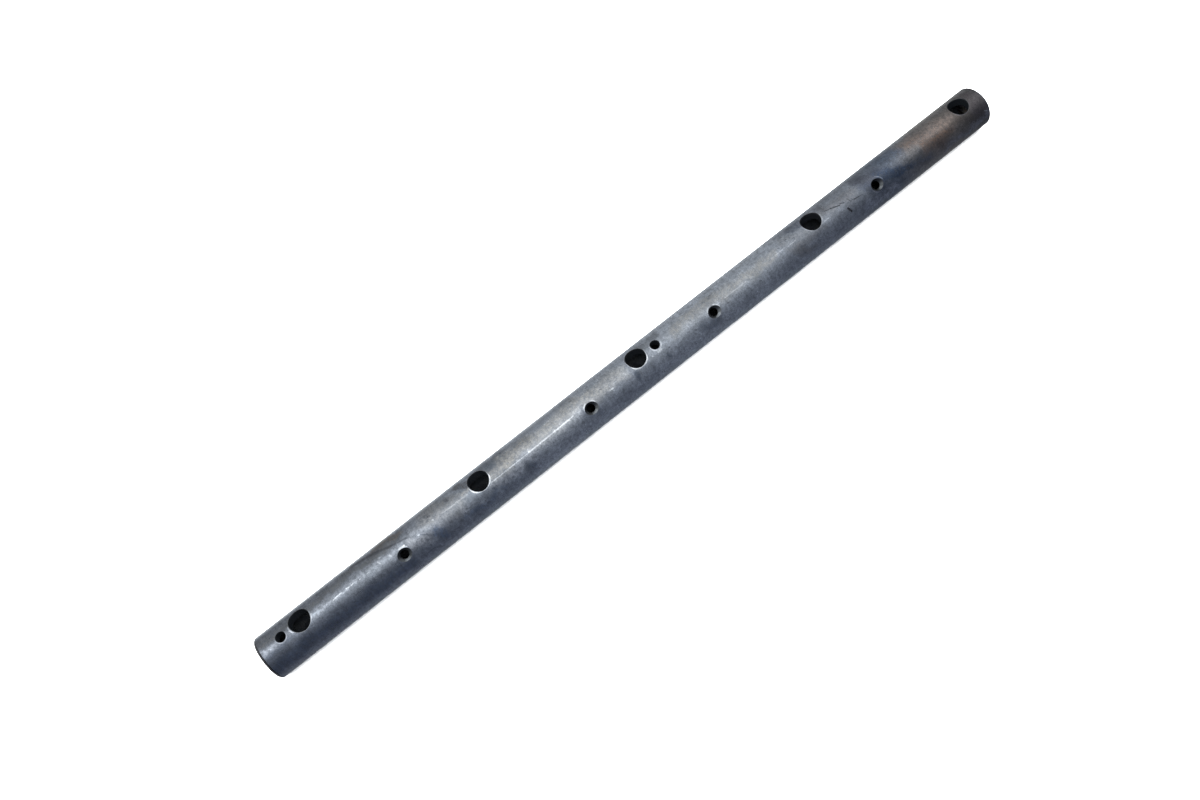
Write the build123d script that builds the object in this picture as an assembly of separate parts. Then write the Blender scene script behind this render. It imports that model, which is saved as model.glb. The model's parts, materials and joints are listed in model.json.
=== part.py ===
from build123d import *
from math import radians, tan
import os

# Rocker shaft of a small four-cylinder engine, in millimetres and degrees.
# The shaft lies along X, with its front end at the low side, and its axis passes through the origin
# at half its length. The bolt holes run along Z. A turn is an angle about X, from +Z towards -Y.

# Body
SHAFT_DIAMETER = 18.9
OIL_BORE_DIAMETER = 11.0
END_CHAMFER = 1.0

# Bolt holes through both walls, with a bay between each two, placed from the front end to the rear end
BOLT_HOLE_DIAMETER = 8.9
FRONT_MARGIN = 19.4
FIRST_BAY = 85.4
SECOND_BAY = 80.5
THIRD_BAY = 96.1
FOURTH_BAY = 86.7
REAR_MARGIN = 12.2

# Small plain holes through the upper wall, one ahead of the first bolt hole and one behind the middle one
SMALL_HOLE_DIAMETER = 4.0
SMALL_HOLE_TURN = 5.0
FRONT_SMALL_HOLE_LEAD = 8.9
MIDDLE_SMALL_HOLE_LAG = 9.6

# Countersunk oil outlets, one in each bay, placed from the bolt hole at the front of that bay
OIL_OUTLET_DIAMETER = 3.5
OIL_OUTLET_TURN = 33.5
FIRST_OUTLET_LAG = 45.9
SECOND_OUTLET_LAG = 53.3
THIRD_OUTLET_LAG = 38.0
FOURTH_OUTLET_LAG = 33.4
COUNTERSINK_DIAMETER = 6.0
COUNTERSINK_ANGLE = 90.0

# Broken edge round the mouths of the bolt holes and the small holes
MOUTH_EDGE_BREAK = 0.35

# Cup plugs pressed into both ends of the oil bore, with their open side outwards
PLUG_DIAMETER = 13.0
PLUG_LENGTH = 4.0
PLUG_SHEET = 1.0
PLUG_BEND_RADIUS = 0.6
PLUG_RECESS = 1.0

# Worked out from the sizes above
SHAFT_RADIUS = SHAFT_DIAMETER / 2
BAYS = (FIRST_BAY, SECOND_BAY, THIRD_BAY, FOURTH_BAY)
OIL_OUTLET_LAGS = (FIRST_OUTLET_LAG, SECOND_OUTLET_LAG, THIRD_OUTLET_LAG, FOURTH_OUTLET_LAG)
SHAFT_LENGTH = FRONT_MARGIN + sum(BAYS) + REAR_MARGIN
HALF_LENGTH = SHAFT_LENGTH / 2
PLUG_SEAT_DEPTH = PLUG_RECESS + PLUG_LENGTH
CUTTER_REACH = 1.0  # how far a cutter runs past the surface that it opens


def bolt_hole_places():
    """Places of the bolt holes along X, front to rear."""
    places = [FRONT_MARGIN - HALF_LENGTH]
    for bay in BAYS:
        places.append(places[-1] + bay)
    return places


def small_hole_places():
    """Places of the two small plain holes along X."""
    bolts = bolt_hole_places()
    middle_bolt = bolts[len(bolts) // 2]
    return [bolts[0] - FRONT_SMALL_HOLE_LEAD, middle_bolt + MIDDLE_SMALL_HOLE_LAG]


def oil_outlet_places():
    """Places of the oil outlets along X, one behind each bolt hole but the last."""
    return [bolt + lag for bolt, lag in zip(bolt_hole_places(), OIL_OUTLET_LAGS)]


def bar(diameter, start, end):
    """Round bar on the shaft's axis, from one place along X to another."""
    return Plane.YZ.offset((start + end) / 2) * Cylinder(diameter / 2, end - start)


def through_drill(place, diameter):
    """Straight drill along Z through both walls."""
    return Pos(place, 0, 0) * Cylinder(diameter / 2, SHAFT_DIAMETER + 2 * CUTTER_REACH)


def wall_drill(place, turn, diameter):
    """Straight drill through one wall, from the shaft's axis outwards."""
    depth = SHAFT_RADIUS + CUTTER_REACH
    return Pos(place, 0, 0) * Rot(turn, 0, 0) * Pos(0, 0, depth / 2) * Cylinder(diameter / 2, depth)


def countersink(place, turn):
    """Cone from the outlet's own diameter up to the full diameter at the crown, and on past it."""
    slope = tan(radians(COUNTERSINK_ANGLE / 2))
    depth = (COUNTERSINK_DIAMETER - OIL_OUTLET_DIAMETER) / 2 / slope
    height = depth + CUTTER_REACH
    top_radius = OIL_OUTLET_DIAMETER / 2 + height * slope
    cone = Cone(OIL_OUTLET_DIAMETER / 2, top_radius, height)
    return Pos(place, 0, 0) * Rot(turn, 0, 0) * Pos(0, 0, SHAFT_RADIUS - depth + height / 2) * cone


def break_mouths(body):
    """Breaks the saddle-shaped edges where the holes meet the round outside."""
    mouths = [edge for edge in body.edges() if edge.geom_type not in (GeomType.CIRCLE, GeomType.LINE)]
    return chamfer(mouths, MOUTH_EDGE_BREAK)


def shaft():
    """The hollow shaft, drilled for its bolts and its oil, with a seat for a plug in each end."""
    body = bar(SHAFT_DIAMETER, -HALF_LENGTH, HALF_LENGTH)
    body = chamfer(body.edges().filter_by(GeomType.CIRCLE), END_CHAMFER)
    for place in bolt_hole_places():
        body -= through_drill(place, BOLT_HOLE_DIAMETER)
    for place in small_hole_places():
        body -= wall_drill(place, SMALL_HOLE_TURN, SMALL_HOLE_DIAMETER)
    body = break_mouths(body)
    for place in oil_outlet_places():
        body -= wall_drill(place, OIL_OUTLET_TURN, OIL_OUTLET_DIAMETER)
        body -= countersink(place, OIL_OUTLET_TURN)
    body -= bar(OIL_BORE_DIAMETER, -HALF_LENGTH, HALF_LENGTH)
    body -= bar(PLUG_DIAMETER, -HALF_LENGTH, -HALF_LENGTH + PLUG_SEAT_DEPTH)
    body -= bar(PLUG_DIAMETER, HALF_LENGTH - PLUG_SEAT_DEPTH, HALF_LENGTH)
    return body


def end_plug():
    """Drawn cup on the X axis, its closed face at the origin and its open side towards +X."""
    cup = bar(PLUG_DIAMETER, 0, PLUG_LENGTH)
    cup = fillet(cup.edges().filter_by(GeomType.CIRCLE).sort_by(Axis.X)[0], PLUG_BEND_RADIUS)
    return cup - bar(PLUG_DIAMETER - 2 * PLUG_SHEET, PLUG_SHEET, PLUG_LENGTH)


def rear_end_plug():
    """The plug in the rear end, its closed face on the step at the bottom of its seat."""
    return Pos(HALF_LENGTH - PLUG_SEAT_DEPTH, 0, 0) * end_plug()


def front_end_plug():
    """The same plug in the front end, turned to face the other way."""
    return Pos(PLUG_SEAT_DEPTH - HALF_LENGTH, 0, 0) * Rot(0, 0, 180) * end_plug()


os.makedirs("parts", exist_ok=True)
export_step(shaft(), "parts/shaft.step")
export_step(front_end_plug(), "parts/front_end_plug.step")
export_step(rear_end_plug(), "parts/rear_end_plug.step")
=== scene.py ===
import bpy
import bmesh
import json
from math import asin, cos, pi, radians, sin, sqrt, tan
from mathutils import Matrix, Vector


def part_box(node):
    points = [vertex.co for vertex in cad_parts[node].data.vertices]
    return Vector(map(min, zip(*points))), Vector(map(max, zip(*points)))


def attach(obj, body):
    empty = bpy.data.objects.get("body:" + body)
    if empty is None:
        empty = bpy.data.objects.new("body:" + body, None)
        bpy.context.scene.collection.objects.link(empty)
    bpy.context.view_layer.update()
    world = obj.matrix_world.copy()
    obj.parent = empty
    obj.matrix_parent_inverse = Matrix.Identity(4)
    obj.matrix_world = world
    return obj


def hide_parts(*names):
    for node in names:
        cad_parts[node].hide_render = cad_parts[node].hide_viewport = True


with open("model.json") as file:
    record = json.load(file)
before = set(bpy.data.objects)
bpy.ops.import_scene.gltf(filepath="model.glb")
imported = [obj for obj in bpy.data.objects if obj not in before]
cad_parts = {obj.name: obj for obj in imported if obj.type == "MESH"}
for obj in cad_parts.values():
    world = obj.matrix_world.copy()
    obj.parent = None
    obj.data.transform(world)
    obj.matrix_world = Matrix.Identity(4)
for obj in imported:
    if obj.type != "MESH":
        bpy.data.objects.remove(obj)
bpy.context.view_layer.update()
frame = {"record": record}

MM = 0.001

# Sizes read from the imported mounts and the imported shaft's box
MOUNTS = {mount["name"]: mount for mount in frame["record"]["mounts"]}
SHAFT_RADIUS = MOUNTS["rocker_journal"]["dims"]["r_mm"] * MM
HALF_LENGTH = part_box("shaft")[1][0]
BOLT_HOLES = [mount for name, mount in MOUNTS.items() if name.startswith("bolt_hole")]
SMALL_HOLES = [mount for name, mount in MOUNTS.items() if name.endswith("small_hole")]
BOLT_HOLE_RADIUS = BOLT_HOLES[0]["dims"]["r_mm"] * MM
SMALL_HOLE_RADIUS = SMALL_HOLES[0]["dims"]["r_mm"] * MM

# Sizes that no mount states; each oil outlet lies its lag behind the bolt hole before it
END_CHAMFER = 1.0 * MM
CORNER_ROUNDING = 0.5 * MM
MOUTH_ROUNDING = 0.3 * MM
SMALL_MOUTH_ROUNDING = 0.2 * MM
OIL_BORE_RADIUS = 5.5 * MM
PLUG_SEAT_RADIUS = 6.5 * MM
PLUG_SEAT_DEPTH = 5.0 * MM
PLUG_LENGTH = 4.0 * MM
PLUG_SHEET = 1.0 * MM
OIL_OUTLET_RADIUS = 1.75 * MM
COUNTERSINK_RADIUS = 3.0 * MM
OIL_OUTLET_TURN = radians(33.5)
OIL_OUTLET_LAGS = (45.9 * MM, 53.3 * MM, 38.0 * MM, 33.4 * MM)

# Bends of a plug's section and edges of its mouth, as (radius, steps)
PLUG_INNER_BEND = (0.7 * MM, 6)
PLUG_INNER_EDGE = (0.2 * MM, 3)
PLUG_OUTER_EDGE = (0.35 * MM, 4)
PLUG_OUTER_BEND = (0.6 * MM, 5)

# Nick in the outside behind the fourth bolt hole
NICK_PLACE = HALF_LENGTH - 82.5 * MM
NICK_TURN = radians(41)
NICK_HALF_SIZES = (0.34 * MM, 1.1 * MM, 0.22 * MM)

# Fineness of the meshes, sweep of a mouth's rounding, and how far cutters stand out
ROUND_STEPS = 240
PLUG_STEPS = 128
HOLE_STEPS = 96
ROUNDING_STEPS = 5
NICK_SUBDIVISIONS = 3
MOUTH_SWING = radians(80)
CUTTER_REACH = 1.0 * MM

# Edges past the first angle stay sharp; normals as near to a cylinder's as the other two say become its own
SHARP_ANGLE = radians(32)
ROUND_ANGLE = radians(30)
ROUND_TOLERANCE = 0.004 * MM

# Finishes of the undrilled shaft after the outside's, and how far in from its ends the turned one reaches
ON_ENDS, IN_BORE = 1, 2
TURNED_REACH = 1.3 * MM


# Nodes


def set_inputs(tree, target, inputs):
    """Gives inputs of a node their values, or joins them to sockets."""
    for key, value in inputs.items():
        if isinstance(value, bpy.types.NodeSocket):
            tree.links.new(value, target.inputs[key])
        else:
            target.inputs[key].default_value = value


def node(tree, kind, inputs=None, **settings):
    """A new node, with its settings made and its inputs set."""
    made = tree.nodes.new(kind)
    for name, value in settings.items():
        setattr(made, name, value)
    set_inputs(tree, made, inputs or {})
    return made


def node_group(name, inputs, output, kind="ShaderNodeTree"):
    """A new group with sockets as {kind: names}: its tree, what it is given, and the end of its output."""
    tree = bpy.data.node_groups.new(name, kind)
    for side, sockets in (("INPUT", inputs), ("OUTPUT", output)):
        for sort, labels in sockets.items():
            for label in labels:
                tree.interface.new_socket(label, in_out=side, socket_type="NodeSocket" + sort)
    return tree, tree.nodes.new("NodeGroupInput").outputs, tree.nodes.new("NodeGroupOutput").inputs[0]


def from_group(tree, group, *values):
    return node(tree, "ShaderNodeGroup", dict(enumerate(values)), node_tree=group).outputs[0]


def maths(tree, operation, *values):
    return node(tree, "ShaderNodeMath", dict(enumerate(values)), operation=operation).outputs[0]


def summed(tree, total, parts):
    """A total with parts of (value, share) added to it."""
    for value, share in parts:
        total = maths(tree, "MULTIPLY_ADD", value, share, total)
    return total


def vectors(tree, operation, *values):
    """Worked out from vectors: a number for a length, distance or dot product, or else a vector."""
    made = node(tree, "ShaderNodeVectorMath", dict(enumerate(values)), operation=operation)
    return made.outputs["Value" if operation in ("LENGTH", "DISTANCE", "DOT_PRODUCT") else "Vector"]


def scaled(tree, vector, factor):
    """A vector or a colour times a factor."""
    return node(tree, "ShaderNodeVectorMath", {0: vector, "Scale": factor}, operation="SCALE").outputs[0]


def combined(tree, **parts):
    return node(tree, "ShaderNodeCombineXYZ", parts).outputs[0]


def split(tree, vector):
    return node(tree, "ShaderNodeSeparateXYZ", {0: vector}).outputs


def object_place(tree):
    return node(tree, "ShaderNodeTexCoord").outputs["Object"]


def noise(tree, place, fineness, detail=2.0, rough=0.5):
    """A noise whose fineness is in changes a millimetre, alike all ways or given along X, Y and Z."""
    if isinstance(fineness, tuple):
        place, fineness = vectors(tree, "MULTIPLY", place, fineness), 1.0
    values = {"Vector": place, "Scale": fineness, "Detail": detail, "Roughness": rough}
    return node(tree, "ShaderNodeTexNoise", values).outputs[0]


def eased(tree, value, low, high, start=0.0, end=1.0):
    """The value's way from low to high, made a smooth way from start to end."""
    values = dict(enumerate((value, low, high, start, end)))
    return node(tree, "ShaderNodeMapRange", values, interpolation_type="SMOOTHSTEP").outputs[0]


def mixed(tree, amount, under, over):
    return node(tree, "ShaderNodeMix", {0: amount, 2: under, 3: over}).outputs[0]


def blended(tree, amount, under, over):
    """Colours mixed; each is a socket or has four parts."""
    return node(tree, "ShaderNodeMix", {0: amount, 6: under, 7: over}, data_type="RGBA").outputs[2]


def uneven(tree, colour, texture, darkest, lightest, low=0.2, high=0.8):
    """The colour made darker where a texture is low and lighter where it is high."""
    return scaled(tree, colour, eased(tree, texture, low, high, darkest, lightest))


def graded_node(tree, value, stops):
    """Ramp whose colour and alpha change with the value, by stops of (value, (red, green, blue, alpha))."""
    ramp = node(tree, "ShaderNodeValToRGB", {0: value})
    marks = ramp.color_ramp.elements
    while len(marks) < len(stops):
        marks.new(0.5)
    for mark, (place, colour) in zip(marks, stops):
        mark.position = place
        mark.color = colour
    return ramp


def graded(tree, value, stops):
    """Colour that changes with the value, by stops of (value, colour)."""
    return graded_node(tree, value, [(place, (*colour, 1)) for place, colour in stops]).outputs[0]


# Shapes


def link(piece):
    bpy.context.scene.collection.objects.link(piece)
    return piece


def mesh_object(name, build, *finishes):
    """A new object whose mesh is filled by build(bmesh) and has the finishes."""
    mesh = bpy.data.meshes.new(name)
    form = bmesh.new()
    build(form)
    form.normal_update()
    form.to_mesh(mesh)
    form.free()
    for finish in finishes:
        mesh.materials.append(finish)
    return link(bpy.data.objects.new(name, mesh))


def ring(form, points):
    return [form.verts.new(point) for point in points]


def turns(steps):
    return [2 * pi * n / steps for n in range(steps)]


def bridge(form, rings):
    """Faces between each closed ring and the next; a ring may be a single point."""
    for first, second in zip(rings, rings[1:]):
        count = max(len(first), len(second))
        for n in range(count):
            after = (n + 1) % count
            corners = [first[n % len(first)], first[after % len(first)]]
            corners += [second[after % len(second)], second[n % len(second)]]
            form.faces.new(list(dict.fromkeys(corners)))


def turned(name, section, steps, closed, *finishes):
    """Section of (x, radius) points turned round the X axis, joined end to end if it is closed."""

    def build(form):
        rings = []
        for x, radius in section:
            angles = turns(steps if radius > 0 else 1)
            rings.append(ring(form, [(x, radius * sin(a), radius * cos(a)) for a in angles]))
        bridge(form, rings + rings[:1] if closed else rings)
        bmesh.ops.recalc_face_normals(form, faces=form.faces)

    return mesh_object(name, build, *finishes)


def rounded_corner(before, corner, after, radius, steps):
    """Points of an arc that rounds the corner between two straight stretches."""
    corner = Vector(corner)
    start = (Vector(before) - corner).normalized()
    end = (Vector(after) - corner).normalized()
    half = start.angle(end) / 2
    centre = corner + (start + end).normalized() * (radius / sin(half))
    first = corner + start * (radius / tan(half)) - centre
    last = corner + end * (radius / tan(half)) - centre
    return [tuple(centre + first.lerp(last, n / steps).normalized() * radius) for n in range(steps + 1)]


def shaft_section():
    """Section of the tube in (x, radius): its outside from end to end, then its inside back."""
    end = [(HALF_LENGTH - END_CHAMFER, SHAFT_RADIUS), (HALF_LENGTH, SHAFT_RADIUS - END_CHAMFER)]
    end.append((HALF_LENGTH, PLUG_SEAT_RADIUS))
    outside = [(-x, radius) for x, radius in reversed(end)] + end
    step = HALF_LENGTH - PLUG_SEAT_DEPTH
    inside = [(step, PLUG_SEAT_RADIUS), (step, OIL_BORE_RADIUS)]
    inside += [(-x, radius) for x, radius in reversed(inside)]
    points = [outside[0]]
    for corners in zip(outside, outside[1:], outside[2:]):
        points += rounded_corner(*corners, CORNER_ROUNDING, ROUNDING_STEPS)
    return points + outside[-1:] + inside


def surface_height(radius, angle):
    """Height of the shaft's round outside over a point at that distance and angle from a hole's axis."""
    return sqrt(SHAFT_RADIUS**2 - (radius * sin(angle)) ** 2)


def mouth_rings(radius, rounding):
    """Rings of a drill where it leaves the outside, each a rule from an angle to (radius, height)."""
    rings = []
    for n in range(ROUNDING_STEPS + 1):
        swing = MOUTH_SWING * n / ROUNDING_STEPS
        wide = radius + rounding * (1 - cos(swing))
        sunk = rounding * (1 - sin(swing))
        rings.append(lambda angle, wide=wide, sunk=sunk: (wide, surface_height(wide, angle) - sunk))
    clear = radius + 2 * rounding
    rings.append(lambda angle: (clear, surface_height(clear, angle) + rounding / 2))
    rings.append(lambda angle: (clear, SHAFT_RADIUS + CUTTER_REACH))
    return rings


def drill(name, rings):
    """Closed cutter whose rings are rules from an angle round its axis to (radius, height)."""

    def build(form):
        made = []
        for rule in rings:
            spokes = [(angle, *rule(angle)) for angle in turns(HOLE_STEPS)]
            made.append(ring(form, [(wide * cos(a), wide * sin(a), height) for a, wide, height in spokes]))
        bridge(form, made)
        form.faces.new(list(reversed(made[0])))
        form.faces.new(made[-1])
        bmesh.ops.recalc_face_normals(form, faces=form.faces)

    return mesh_object(name, build)


def bolt_drill():
    """Cutter of a bolt hole, with the same mouth at its top and upside down at its bottom."""
    mouth = mouth_rings(BOLT_HOLE_RADIUS, MOUTH_ROUNDING)
    below = [lambda angle, rule=rule: (rule(angle)[0], -rule(angle)[1]) for rule in reversed(mouth)]
    return drill("bolt_drill", below + mouth)


def small_drill():
    """Cutter of a small hole, which ends in the oil bore."""
    mouth = mouth_rings(SMALL_HOLE_RADIUS, SMALL_MOUTH_ROUNDING)
    return drill("small_drill", [lambda angle: (SMALL_HOLE_RADIUS, 0.0)] + mouth)


def outlet_drill():
    """Cutter of a countersunk oil outlet, which starts in the oil bore."""
    depth = COUNTERSINK_RADIUS - OIL_OUTLET_RADIUS
    rings = [
        lambda angle: (OIL_OUTLET_RADIUS, 0.0),
        lambda angle: (OIL_OUTLET_RADIUS, SHAFT_RADIUS - depth),
        lambda angle: (COUNTERSINK_RADIUS + CUTTER_REACH, SHAFT_RADIUS + CUTTER_REACH),
    ]
    return drill("outlet_drill", rings)


def nick_cutter(finish):
    """Long rounded chip that leaves a shallow nick where it meets the outside."""

    def build(form):
        bmesh.ops.create_icosphere(form, subdivisions=NICK_SUBDIVISIONS, radius=1.0)
        size = Matrix.Diagonal((*NICK_HALF_SIZES, 1))
        place = Matrix.Translation((NICK_PLACE, 0, 0)) @ Matrix.Rotation(NICK_TURN, 4, "X")
        place = place @ Matrix.Translation((0, 0, SHAFT_RADIUS))
        bmesh.ops.transform(form, matrix=place @ size, verts=form.verts)

    return mesh_object("nick_cutter", build, finish)


def drill_places(name, places):
    """A vertex for each hole at its place along X, with its turn, from +Z towards -Y, as an attribute."""
    mesh = bpy.data.meshes.new(name)
    mesh.from_pydata([(x, 0, 0) for x, turn in places], [], [])
    turns = mesh.attributes.new("turn", "FLOAT", "POINT")
    for item, (x, turn) in zip(turns.data, places):
        item.value = turn
    return link(bpy.data.objects.new(name, mesh))


def drilling_tree():
    """Sets one drill at every place, turned as the place says."""
    inputs = {"Geometry": ["Places"], "Object": ["Drill"], "Material": ["Finish"]}
    output = {"Geometry": ["Drills"]}
    tree, given, result = node_group("Drills at their places", inputs, output, "GeometryNodeTree")
    source = node(tree, "GeometryNodeObjectInfo", {"Object": given["Drill"]}).outputs["Geometry"]
    turn = node(tree, "GeometryNodeInputNamedAttribute", {"Name": "turn"}, data_type="FLOAT")
    values = {"Points": given["Places"], "Instance": source}
    values["Rotation"] = combined(tree, X=turn.outputs["Attribute"])
    drills = node(tree, "GeometryNodeInstanceOnPoints", values).outputs["Instances"]
    drills = node(tree, "GeometryNodeRealizeInstances", {"Geometry": drills}).outputs["Geometry"]
    values = {"Geometry": drills, "Material": given["Finish"]}
    tree.links.new(node(tree, "GeometryNodeSetMaterial", values).outputs["Geometry"], result)
    return tree


def plain_mesh(piece):
    """Turns the evaluated piece into a plain mesh and drops its modifiers."""
    bpy.context.view_layer.update()
    evaluated = piece.evaluated_get(bpy.context.evaluated_depsgraph_get())
    mesh = bpy.data.meshes.new_from_object(evaluated)
    piece.modifiers.clear()
    piece.data = mesh
    mesh.name = piece.name


def all_drills(tree, name, places, cutter, finish):
    """One plain mesh of the cutter at every place, in its finish."""
    piece = drill_places(name, places)
    modifier = piece.modifiers.new("Drills", "NODES")
    modifier.node_group = tree
    values = {"Drill": cutter, "Finish": finish}
    for item in tree.interface.items_tree:
        if item.name in values:
            modifier[item.identifier] = values[item.name]
    plain_mesh(piece)
    bpy.data.objects.remove(cutter)
    return piece


def cut(piece, tools):
    for tool in tools:
        modifier = piece.modifiers.new("Cut", "BOOLEAN")
        modifier.operation = "DIFFERENCE"
        modifier.solver = "EXACT"
        modifier.material_mode = "TRANSFER"
        modifier.object = tool
    plain_mesh(piece)
    for tool in tools:
        bpy.data.objects.remove(tool)


def smooth(mesh):
    mesh.polygons.foreach_set("use_smooth", [True] * len(mesh.polygons))
    mesh.set_sharp_from_angle(angle=SHARP_ANGLE)


def straighten_normals(mesh, radii):
    """Exact normals wherever the surface is a cylinder about X of one of the radii."""
    normals = [Vector(corner.vector) for corner in mesh.corner_normals]
    for index, corner in enumerate(mesh.loops):
        place = mesh.vertices[corner.vertex_index].co
        spoke = Vector((0, place.y, place.z))
        if any(abs(spoke.length - radius) < ROUND_TOLERANCE for radius in radii):
            outward = spoke.normalized()
            lean = normals[index].dot(outward)
            if abs(lean) > cos(ROUND_ANGLE):
                normals[index] = outward if lean > 0 else -outward
    mesh.normals_split_custom_set(normals)


def share_finishes(mesh):
    """Faces of the undrilled shaft that aren't on the outside take the finish of the ends or of the bore."""
    for face in mesh.polygons:
        radius = sqrt(face.center.y**2 + face.center.z**2)
        if radius < OIL_BORE_RADIUS:
            face.material_index = IN_BORE
        elif abs(face.center.x) > HALF_LENGTH - TURNED_REACH or radius < PLUG_SEAT_RADIUS:
            face.material_index = ON_ENDS


def drilled_shaft(outside, ends, bore, bolt_wall, small_wall, cone):
    """The whole shaft, from the finishes of its outside, ends, bore, hole walls and outlets."""
    shaft = turned("rocker_shaft", shaft_section(), ROUND_STEPS, True, outside, ends, bore)
    share_finishes(shaft.data)
    tree = drilling_tree()
    bolt_places = [(mount["pos_m"][0], 0.0) for mount in BOLT_HOLES]
    small_places = [(mount["pos_m"][0], asin(-mount["axis"][1])) for mount in SMALL_HOLES]
    outlet_places = [(bolt[0] + lag, OIL_OUTLET_TURN) for bolt, lag in zip(bolt_places, OIL_OUTLET_LAGS)]
    tools = [
        all_drills(tree, "bolt_drills", bolt_places, bolt_drill(), bolt_wall),
        all_drills(tree, "small_drills", small_places, small_drill(), small_wall),
        all_drills(tree, "outlet_drills", outlet_places, outlet_drill(), cone),
        nick_cutter(outside),
    ]
    cut(shaft, tools)
    smooth(shaft.data)
    straighten_normals(shaft.data, (SHAFT_RADIUS, OIL_BORE_RADIUS))
    return shaft


def plug_section():
    """Half section of a drawn cup: open towards +X, its closed face at the origin."""
    inner = PLUG_SEAT_RADIUS - PLUG_SHEET
    inside = [(PLUG_SHEET, 0.0), (PLUG_SHEET, inner), (PLUG_LENGTH, inner)]
    lip = [(PLUG_LENGTH, inner), (PLUG_LENGTH, PLUG_SEAT_RADIUS)]
    outside = [lip[1], (0.0, PLUG_SEAT_RADIUS), (0.0, 0.0)]
    points = [inside[0]]
    points += rounded_corner(*inside, *PLUG_INNER_BEND)
    points += rounded_corner(inside[1], *lip, *PLUG_INNER_EDGE)
    points += rounded_corner(*lip, outside[1], *PLUG_OUTER_EDGE)
    points += rounded_corner(*outside, *PLUG_OUTER_BEND)
    return points + [outside[2]]


def end_plug(name, facing, finish):
    """Cup pressed down to the step of its seat, its open side outwards, at the end that facing gives."""
    plug = turned(name, plug_section(), PLUG_STEPS, False, finish)
    for vertex in plug.data.vertices:
        vertex.co.x = facing * (HALF_LENGTH - PLUG_SEAT_DEPTH + vertex.co.x)
    if facing < 0:
        plug.data.flip_normals()
    smooth(plug.data)
    return plug


# Finishes


def new_material(name, look, *others):
    """A material whose look gives colour, roughness, height, depth of relief and the shader's other inputs,
    from the place in millimetres, whole and split."""
    material = bpy.data.materials.new(name)
    material.use_nodes = True
    tree = material.node_tree
    place = scaled(tree, object_place(tree), 1 / MM)
    colour, roughness, height, depth, inputs = look(tree, place, split(tree, place), *others)
    relief = node(tree, "ShaderNodeBump", {"Height": height, "Distance": depth * MM}).outputs[0]
    inputs = {"Metallic": 1.0, "Base Color": colour, "Roughness": roughness, "Normal": relief, **inputs}
    set_inputs(tree, tree.nodes["Principled BSDF"], inputs)
    return material


def from_axis(tree, parts):
    """Distance from the shaft's axis in millimetres."""
    return vectors(tree, "LENGTH", combined(tree, Y=parts[1], Z=parts[2]))


def lines(tree, value, fineness, **parts):
    """A noise that changes with a value, so many times a millimetre, and with any other parts."""
    return noise(tree, combined(tree, X=maths(tree, "MULTIPLY", value, fineness), **parts), 1.0)


def filmed(tree, film, clean, oiled):
    """The clean colour and the oiled one, shared out by the noise of an oil film."""
    return blended(tree, eased(tree, film, 0.35, 0.65), (*clean, 1), (*oiled, 1))


def roughened(tree, film, least, most):
    """Roughness from least to most, by the noise of an oil film."""
    return eased(tree, film, 0.3, 0.7, least, most)


def mark_group():
    """How far a mark covers a place: all of it in the mark's core, none of it beyond its half width."""
    inputs = {"Vector": ["Place", "Start", "End"], "Float": ["Half width", "Core"]}
    tree, given, cover = node_group("Mark on the unrolled outside", inputs, {"Float": ["Cover"]})
    run = vectors(tree, "SUBTRACT", given["End"], given["Start"])
    reach = vectors(tree, "SUBTRACT", given["Place"], given["Start"])
    along = vectors(tree, "DOT_PRODUCT", reach, run)
    share = maths(tree, "DIVIDE", along, vectors(tree, "DOT_PRODUCT", run, run))
    nearest = scaled(tree, run, node(tree, "ShaderNodeClamp", {0: share}).outputs[0])
    gap = vectors(tree, "DISTANCE", reach, nearest)
    core = maths(tree, "MULTIPLY", given["Half width"], given["Core"])
    tree.links.new(eased(tree, gap, core, given["Half width"], 1.0, 0.0), cover)
    return tree


# Core of a painted highlight crescent as a share of its half width, and the least half width in millimetres
RIM_CORE = 0.3
LEAST_WIDTH = 0.001


def rim_highlight_group():
    """How far a crescent covers a place: widest at its middle, gone where the heading is at its end."""
    inputs = {"Vector": ["Place", "Centre", "Towards"], "Float": ["Radius", "Half width", "End"]}
    tree, given, cover = node_group("Crescent at a rim", inputs, {"Float": ["Cover"]})
    spoke = vectors(tree, "SUBTRACT", given["Place"], given["Centre"])
    heading = vectors(tree, "DOT_PRODUCT", vectors(tree, "NORMALIZE", spoke), given["Towards"])
    gap = maths(tree, "SUBTRACT", vectors(tree, "LENGTH", spoke), given["Radius"])
    width = maths(tree, "MULTIPLY", eased(tree, heading, given["End"], 1.0), given["Half width"])
    share = maths(tree, "DIVIDE", maths(tree, "ABSOLUTE", gap), maths(tree, "ADD", width, LEAST_WIDTH))
    tree.links.new(eased(tree, share, RIM_CORE, 1.0, 1.0, 0.0), cover)
    return tree


def unrolled(tree, parts):
    """Place on the unrolled outside in millimetres: station from the front end, and arc from the top."""
    turn = maths(tree, "ARCTAN2", parts[1], parts[2])
    station = maths(tree, "ADD", parts[0], HALF_LENGTH / MM)
    return combined(tree, X=station, Y=maths(tree, "MULTIPLY", turn, SHAFT_RADIUS / MM))


def strayed(tree, flat, place, strays):
    """The unrolled place, moved by noises of (fineness, reach) in turn, so that a mark's edge is uneven."""
    for fineness, reach in strays:
        values = {"Vector": place, "Scale": fineness, "Detail": 3.0}
        drift = node(tree, "ShaderNodeTexNoise", values).outputs[1]
        centred = vectors(tree, "SUBTRACT", drift, (0.5, 0.5, 0.5))
        flat = vectors(tree, "ADD", flat, vectors(tree, "MULTIPLY", centred, (reach, reach, 0.0)))
    return flat


def on_outside(station, turn):
    """Place on the unrolled outside of a station in millimetres and a turn in degrees towards +Y."""
    return (station, radians(turn) * SHAFT_RADIUS / MM, 0.0)


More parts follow.
